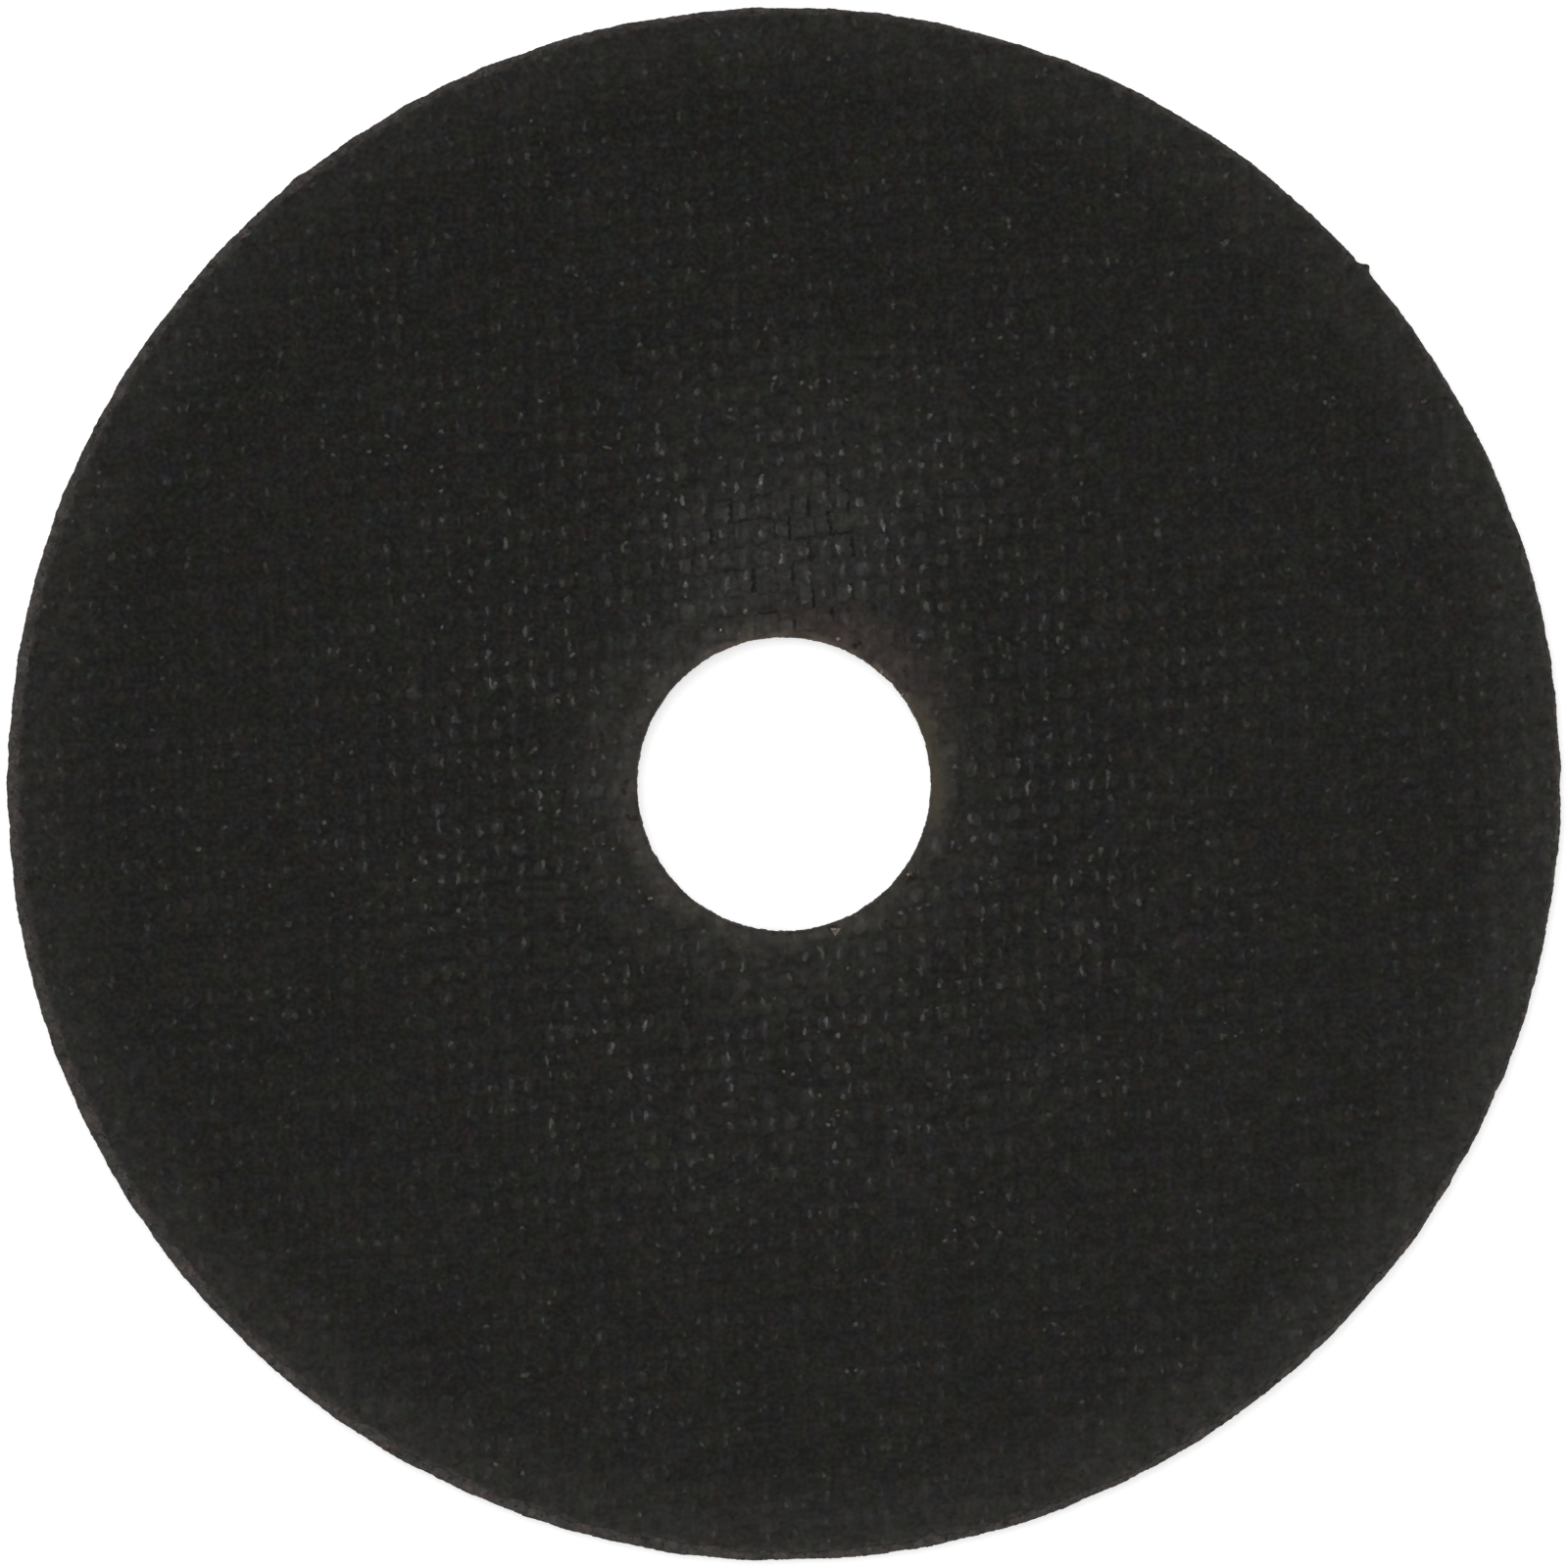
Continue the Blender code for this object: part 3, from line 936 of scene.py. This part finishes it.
def torn_edge(place, colour):
    """Tan fringe where the punch tore the bore's edge, above the bore and at its right."""
    radius = place.scaled(LEVEL).length()
    uneven = radius.warped(place.noise(*FRINGE_NOISE), FRINGE_STRAY)
    above = (place.along(FRINGE_DIRECTION) / radius).ramp(*FRINGE_SIDES)
    torn = uneven.ramp(*FRINGE_FADE) * above * place.spots(*TORN_SPOTS)
    colour = torn.mix(colour, TORN_TAN)
    right = (place.along(OLIVE_DIRECTION) / radius).ramp(*OLIVE_SIDES)
    colour = (uneven.ramp(*OLIVE_FADE) * right * OLIVE_SHARE).mix(colour, TORN_OLIVE)
    return radius.ramp(*PUNCHED_FADE).mix(colour, PUNCHED_EDGE)


# Worn edge of the cloth
WORN_EDGE = (0.0400, 0.0345, 0.0305)
WORN_NOISE = (2.6, 3.0, 0.6)
WORN_STRAY = 0.9
WORN_FADE = (24.92, 25.22, 0.0, 0.75)


def worn_edge(place, colour):
    """Paler and browner resin along the cloth's cut edge, round the cloth's own centre."""
    outward = place.scaled(LEVEL).moved((-CLOTH_CENTRE[0], -CLOTH_CENTRE[1], 0.0)).length()
    outward = outward.warped(place.noise(*WORN_NOISE), WORN_STRAY)
    return outward.ramp(*WORN_FADE).mix(colour, WORN_EDGE)


# How much of the weave shows, and its crowns and specks, which are painted pale: partly paler crown tops
# and partly painted glints
RADIUS_NOISE = (1.4, 3.0)
RADIUS_STRAY = 0.9
# Colour of pale crowns and specks: partly paler resin on the crown tops, partly painted glints
PALE_CROWN_AND_GLINT = (0.0720, 0.0730, 0.0700)
FAINT_CROWN_SHARE = 0.19
SPECK_SHARE = 0.95
SHOWING_FADE = (9.0, 17.0, 0.95, 0.43)
SHOWING_SPOTS = ((0.45, 2.0), (0.35, 0.65, 0.6, 1.2))
SHOWING_BY_SHEEN_FAN = (0.0, 1.0, 0.92, 1.30)
SHOWING_ON_LAND = (5.0, 6.4, 0.25, 1.0)
SHOWING_AT_CRACKS = (3.6, 1.6, 1.0, 1.8)
CRACKS_PLACE = (0.1, 7.8)
CRACKS_SHAPE = (0.78, 1.0, 0.0)
STREAKS = (6.4, 3.0, 8.0)
STREAK_NOISE = (1.0, 2.0, 0.6)
STREAK_ON_CROWNS = (0.35, 0.60, 0.3, 1.0)
STREAK_ON_SPECKS = (0.30, 0.55, 0.35, 1.0)
STREAK_ON_PATCH = (0.35, 0.60, 0.35, 1.0)

# Colours of the resin and the marks in it
PINK_RESIN = (0.0330, 0.0240, 0.0215)
PINK_SIDES = (1.00, 0.95, 0.35)
PINK_FADE = (6.7, 5.3)
PINK_SPOTS = ((1.9, 2.0), (0.40, 0.60, 0.45, 0.9))
BROAD_TINT = (0.0024, 0.0020, 0.0038)
BROAD_TINT_NOISE = (1.2, 1.0)
SMALL_TINT = (0.0024, 0.0019, 0.0036)
SMALL_TINT_NOISE = (3.0, 1.0)
RUSTY_RESIN = (0.0125, 0.0073, 0.0058)
RUSTY_SPOTS = ((2.4, 2.0), (0.63, 0.71))
RUSTY_SHARE = 0.85

# Uneven brightness: layers of noise with their least and greatest factors, the crowns' own
# brightness, and the grain, which is strongest between the land and the outer half
SHADING = (
    ((0.9, 2.0, 0.6), (0.90, 1.10)),
    ((1.9, 1.0, 0.5), (0.89, 1.11)),
    ((4.9, 1.0, 0.6), (0.96, 1.04)),
)
NOISE_SPAN = (0.30, 0.70)
CROWN_SHADING = (12.0, 18.0, 0.95, 0.50)
GAP_SHADING = 0.15
GRAIN_NOISE = (2.7, 1.0, 0.5)
GRAIN_INNER_FADE = (5.6, 7.2, 0.18, 0.25)
GRAIN_OUTER_FADE = (13.0, 19.0)
OUTER_GRAIN = 0.16

# Smooth patch above the bore, its crowns painted paler as a sheen, flecks that are partly bare fibre
# and partly painted glints, and pits and cracks darkened as painted shade
# Painted sheen colour of the crowns in the smooth patch
PATCH_SHEEN_GREY = (0.0235, 0.0215, 0.0185)
PATCH_SIDES = (math.radians(PATCH_DIRECTION), 0.62, 0.25)
PATCH_OUTER_FADE = (PATCH_REACH + 0.8, PATCH_REACH - 1.0)
PATCH_INNER_FADE = (5.6, 6.6)
PATCH_SHEEN_SHARE = 0.60
# Pale flecks: partly bare fibre, partly painted glints
FLECK_AND_GLINT = (0.0850, 0.0850, 0.0810)
FLECKS_A_MM = 3.4
FLECK_EDGE = (0.34, 0.10)
FLECK_CHANCE = (0.82, 1.03)
FLECK_SPOTS = ((0.35, 2.0), (0.35, 0.65, -0.10, 0.02))
FLECK_FADE = (9.0, 20.0, 0.01, -0.04)
RAGGED_NOISE = (7.0, 1.0)
RAGGED_REACH = (0.08, 0.08, 0.08)
PITS_SHIFT = (3.1, 7.7, 1.3)
PITS_A_MM = 2.6
PIT_EDGE = (0.26, 0.10)
PIT_SPOTS = ((0.8, 2.0), (0.38, 0.60, 0.15, 0.85))
PIT_FADE = (9.0, 16.0)
PIT_DEPTHS_ON_LAND = (0.30, 0.62)
PIT_DEPTHS_ON_CLOTH = (0.72, 0.62)
# Painted shade in pits and cracks
PIT_AND_CRACK_SHADE = (0.0, 1.0, 1.0, 0.06)
CRACKS_FADE = (3.4, 1.6)
CRACKS_ELSEWHERE = (7.0, 15.0, 0.36, 0.28)
CRACK_NOISE = (2.6, 1.0)
CRACK_SPOTS = (0.42, 0.52)
LEAST_CRACK = (3.4, 1.6, 0.0, 0.72)

# Surface of the resin
ROUGHNESS_SPOTS = ((6.0, 0.0), (0.3, 0.7, 0.62, 0.80))
SPECK_SHINE = 0.42
PATCH_SHINE = 0.10
FACE_BUMP_NOISE = (7.0, 2.0, 0.6)
FACE_BUMP = (0.025, 1.0)
FACE_SPECULAR = 0.17


def resin_colour(place, bearing, radius, light):
    """Resin with its tints, rusty and pink stains and the broad painted light and shade, but no weave."""
    base = place.noise(0.9, 2.0).mix(DARK_RESIN, PALE_RESIN)
    colour = radial_colour(place, radius, base)
    pink = bearing.toward(*PINK_SIDES) * radius.ramp(*PINK_FADE)
    colour = (pink * place.spots(*PINK_SPOTS)).mix(colour, PINK_RESIN)
    colour = colour.strayed(place.noise_colour(*BROAD_TINT_NOISE), BROAD_TINT)
    colour = colour.strayed(place.noise_colour(*SMALL_TINT_NOISE), SMALL_TINT)
    rusty = place.spots(*RUSTY_SPOTS) * RUSTY_SHARE
    # The broad light is painted light and shade, added to the colour
    return rusty.mix(colour, RUSTY_RESIN).added(light - 1.0, BROAD_LIGHT)


def shaded(place, radius, crown, chance, colour):
    """A colour with its uneven brightness: patches, each crown's own shade and the grain."""
    for noise, factors in SHADING:
        colour = colour.times(place.noise(*noise).ramp(*NOISE_SPAN, *factors))
    crowns = (chance - 0.5) * crown.ramp(0.0, 1.0, GAP_SHADING, radius.ramp(*CROWN_SHADING))
    colour = colour.times(crowns + 1.0)
    reach = radius.ramp(*GRAIN_OUTER_FADE, radius.ramp(*GRAIN_INNER_FADE), OUTER_GRAIN)
    return colour.times(place.noise(*GRAIN_NOISE).ramp(*NOISE_SPAN, -1.0, 1.0) * reach + 1.0)


def face_material(name, is_land):
    """Black resin over glass cloth: dull and grainy, with small pale crowns, partly paler crown tops and
    partly painted glints, and painted sheen, highlight and shade.

    is_land says whether it is the land round the bore, where the cloth shows less.
    """
    material, place = start_material(name)
    bearing = place.bearing()
    radius = place.scaled(LEVEL).length().warped(place.noise(*RADIUS_NOISE), RADIUS_STRAY)
    crown, specks, chances, shaded_cracks = threads(place, radius.ramp(*SPECK_HEIGHT_FADE))
    # Painted sheen fan above the bore, and the painted light and shade of the resin
    sheen_fan, light = broad_light(place, bearing, radius)
    patch = radius.ramp(*PATCH_OUTER_FADE) * radius.ramp(*PATCH_INNER_FADE)
    patch = patch * bearing.toward(*PATCH_SIDES)
    to_cracks = place.moved((-CRACKS_PLACE[0], -CRACKS_PLACE[1], 0.0)).scaled(CRACKS_SHAPE).length()

    showing = radius.ramp(*SHOWING_FADE) * place.spots(*SHOWING_SPOTS)
    showing = showing * sheen_fan.ramp(*SHOWING_BY_SHEEN_FAN) * to_cracks.ramp(*SHOWING_AT_CRACKS)
    if is_land:
        showing = showing * radius.ramp(*SHOWING_ON_LAND)
    streaks = place.scaled(STREAKS).noise(*STREAK_NOISE)
    faint_crown_glint = crown * (chances[0] ** 1.8 * 0.85 + 0.15) * showing * streaks.ramp(*STREAK_ON_CROWNS)
    speck_glint = specks * chances[0].ramp(0.0, 1.0, 0.45, 1.0) * showing * streaks.ramp(*STREAK_ON_SPECKS)

    colour = resin_colour(place, bearing, radius, light)
    colour = shaded(place, radius, crown, chances[1], colour)
    # Pale crowns and specks mixed in, partly paler crown tops and partly painted glints
    colour = (faint_crown_glint * FAINT_CROWN_SHARE).mix(colour, PALE_CROWN_AND_GLINT)
    colour = (speck_glint * SPECK_SHARE).mix(colour, PALE_CROWN_AND_GLINT)
    # Painted sheen on the crowns of the smooth patch above the bore
    sheen_blocks = patch * crown * streaks.ramp(*STREAK_ON_PATCH)
    colour = (sheen_blocks * PATCH_SHEEN_SHARE).mix(colour, PATCH_SHEEN_GREY)

    # Pale flecks, partly bare fibre and partly painted glints
    ragged = place.strayed(place.noise_colour(*RAGGED_NOISE), RAGGED_REACH)
    fleck = ragged.cells(FLECKS_A_MM)
    chance = fleck.other("Color").parts()[0] + place.spots(*FLECK_SPOTS)
    chance = (chance + radius.ramp(*FLECK_FADE)).ramp(*FLECK_CHANCE)
    colour = (fleck.ramp(*FLECK_EDGE) * chance).mix(colour, FLECK_AND_GLINT)
    # Cracks, partly real and partly painted shadow
    broken = place.noise(*CRACK_NOISE).ramp(*CRACK_SPOTS, to_cracks.ramp(*LEAST_CRACK), 1.0)
    shaded_cracks = shaded_cracks * broken * to_cracks.ramp(*CRACKS_FADE, radius.ramp(*CRACKS_ELSEWHERE), 1.0)
    depths = PIT_DEPTHS_ON_LAND if is_land else PIT_DEPTHS_ON_CLOTH
    pits = ragged.moved(PITS_SHIFT).cells(PITS_A_MM).ramp(*PIT_EDGE)
    pits = pits * place.spots(*PIT_SPOTS) * radius.ramp(*PIT_FADE, *depths)
    # Painted shade: the pits and cracks are darkened almost to black
    colour = colour.times(shaded_cracks.greatest(pits).ramp(*PIT_AND_CRACK_SHADE))
    colour = torn_edge(place, colour) if is_land else worn_edge(place, colour)

    roughness = place.spots(*ROUGHNESS_SPOTS)
    roughness = roughness - speck_glint * SPECK_SHINE - patch * PATCH_SHINE
    normal = place.noise(*FACE_BUMP_NOISE).bump(*FACE_BUMP)
    return finish_material(material, colour, roughness, normal, FACE_SPECULAR)


FIBRE_CREAM = (0.24, 0.20, 0.165)
FIBRE_GREY = (0.13, 0.125, 0.115)
FIBRE_STAIN = (0.075, 0.055, 0.040)
RUSTY_CHIP = (0.036, 0.020, 0.0155)
RUSTY_CHIP_FADE = (7.0, 9.0)


def sliver_material():
    """Pale cream glass fibre, a little stained by resin, and the rusty chip above the bore."""
    material, place = start_material("bare_fibre")
    colour = place.noise(0.8).ramp(0.35, 0.65).mix(FIBRE_CREAM, FIBRE_GREY)
    colour = place.noise(9.0, 2.0).ramp(0.45, 0.65).mix(colour, FIBRE_STAIN)
    colour = place.along((0.0, 1.0)).ramp(*RUSTY_CHIP_FADE).mix(colour, RUSTY_CHIP)
    roughness = place.noise(12.0).ramp(0.3, 0.7, 0.45, 0.7)
    normal = place.noise(16.0).bump(0.02, 0.5)
    return finish_material(material, colour, roughness, normal, 0.3)


RAW_DARK = (0.0290, 0.0262, 0.0232)
RAW_PALE = (0.0600, 0.0535, 0.0475)
RAW_PINK = (0.0590, 0.0445, 0.0405)
RAW_GREY = (0.0330, 0.0325, 0.0290)
RAW_GLINT = (0.1100, 0.0980, 0.0890)
RAW_BLACK = (0.0100, 0.0090, 0.0075)
RAW_TINT = (0.0050, 0.0045, 0.0060)


def rim_material():
    """Raw abrasive grain and resin, brown and sparkling a little."""
    material, place = start_material("raw_grain")
    colour = place.cells(6.0).other("Color").parts()[0].mix(RAW_DARK, RAW_PALE)
    colour = place.noise(1.6, 2.0).ramp(0.42, 0.60, 0.0, 0.8).mix(colour, RAW_PINK)
    colour = place.noise(2.3, 3.0, 0.7).ramp(0.40, 0.58, 0.9, 0.0).mix(colour, RAW_GREY)
    colour = colour.strayed(place.noise_colour(3.0, 2.0), RAW_TINT)
    colour = colour.times(place.noise(4.2, 2.0).ramp(0.32, 0.68, 0.72, 1.24))
    colour = place.noise(12.0).ramp(0.64, 0.74).mix(colour, RAW_GLINT)
    colour = place.noise(4.0, 2.0, 0.6).ramp(0.60, 0.68, 0.0, 0.8).mix(colour, RAW_BLACK)
    roughness = place.noise(9.0).ramp(0.3, 0.7, 0.45, 0.85)
    normal = place.cells(9.0).bump(0.03, 0.5)
    normal = place.noise(25.0, 4.0, 0.6).bump(0.01, 0.6, normal)
    return finish_material(material, colour, roughness, normal, 0.2)


# Floor, sky, lights and camera, in metres
FLOOR_REACH = 0.6
FLOOR_COLOUR = (0.8, 0.8, 0.8, 1.0)
FLOOR_GLOW = 0.50
SKY_STRENGTH = 0.38
CAMERA_DISTANCE = 0.6
SENSOR_WIDTH = 36.0
PHOTO_WIDTH_PIXELS = 1600
WHEEL_WIDTH_PIXELS = 1588.4


def floor_and_world():
    """White floor that keeps the wheel's soft shadow, under a dim even sky."""
    corners = [(x * FLOOR_REACH, y * FLOOR_REACH, 0) for x, y in ((-1, -1), (1, -1), (1, 1), (-1, 1))]
    mesh = bpy.data.meshes.new("floor")
    mesh.from_pydata(corners, [], [(0, 1, 2, 3)])
    floor = bpy.data.objects.new("floor", mesh)
    bpy.context.scene.collection.objects.link(floor)
    material = bpy.data.materials.new("white_floor")
    material.use_nodes = True
    tree = material.node_tree
    tree.nodes.remove(tree.nodes["Principled BSDF"])
    ray = add_node(tree, "ShaderNodeLightPath", {}, "Is Camera Ray")
    seen = ray + ray.other("Is Glossy Ray")
    seen = seen.math("ADD", seen, ray.other("Is Transmission Ray"), use_clamp=True)
    diffuse = add_node(tree, "ShaderNodeBsdfDiffuse", {"Color": FLOOR_COLOUR})
    glow = add_node(tree, "ShaderNodeEmission", {"Strength": seen * FLOOR_GLOW})
    both = add_node(tree, "ShaderNodeAddShader", {0: diffuse, 1: glow})
    feed(tree.nodes["Material Output"].inputs["Surface"], both)
    mesh.materials.append(material)

    world = bpy.data.worlds.new("sky")
    bpy.context.scene.world = world
    world.use_nodes = True
    background = world.node_tree.nodes["Background"]
    background.inputs["Color"].default_value = (1.0, 1.0, 1.0, 1.0)
    background.inputs["Strength"].default_value = SKY_STRENGTH


def softbox(name, azimuth, elevation, distance, size, radiance):
    """Square area light aimed at the wheel, given by its brightness."""
    lamp = bpy.data.lights.new(name, "AREA")
    lamp.shape = "SQUARE"
    lamp.size = size
    lamp.energy = radiance * math.pi * size * size
    holder = bpy.data.objects.new(name, lamp)
    bpy.context.scene.collection.objects.link(holder)
    azimuth = math.radians(azimuth)
    elevation = math.radians(elevation)
    holder.location = (
        distance * math.cos(elevation) * math.cos(azimuth),
        distance * math.cos(elevation) * math.sin(azimuth),
        distance * math.sin(elevation),
    )
    holder.rotation_euler = (0.0, math.pi / 2 - elevation, azimuth)


def lights():
    """Key above the wheel's far side, with weaker boxes at the left and right."""
    softbox("key", azimuth=120.0, elevation=80.0, distance=0.75, size=0.34, radiance=6.9)
    softbox("fill_left", azimuth=190.0, elevation=40.0, distance=0.60, size=0.28, radiance=2.2)
    softbox("fill_right", azimuth=350.0, elevation=40.0, distance=0.60, size=0.28, radiance=2.2)


def camera():
    """Camera straight above the wheel, framing it as the photograph does."""
    view_width = 2 * WHEEL_RADIUS * MM * PHOTO_WIDTH_PIXELS / WHEEL_WIDTH_PIXELS
    lens = bpy.data.cameras.new("camera")
    lens.sensor_width = SENSOR_WIDTH
    lens.lens = SENSOR_WIDTH * CAMERA_DISTANCE / view_width
    lens.clip_start = 0.01
    eye = bpy.data.objects.new("camera", lens)
    bpy.context.scene.collection.objects.link(eye)
    eye.location = (0.0, 0.0, CAMERA_DISTANCE + THICKNESS * MM)
    bpy.context.scene.camera = eye


cloth = face_material("black_resin_cloth", False)
cloth_face("front_cloth", 1, FRONT_SEED, WEFT_STOPS, cloth)
cloth_face("back_cloth", -1, BACK_SEED, BACK_WEFT_STOPS, cloth)
hub_piece(face_material("resin_land", True))
rim_piece(rim_material())
sliver_piece(sliver_material())
floor_and_world()
lights()
camera()
bpy.context.scene.view_settings.view_transform = "Standard"

bpy.context.view_layer.update()
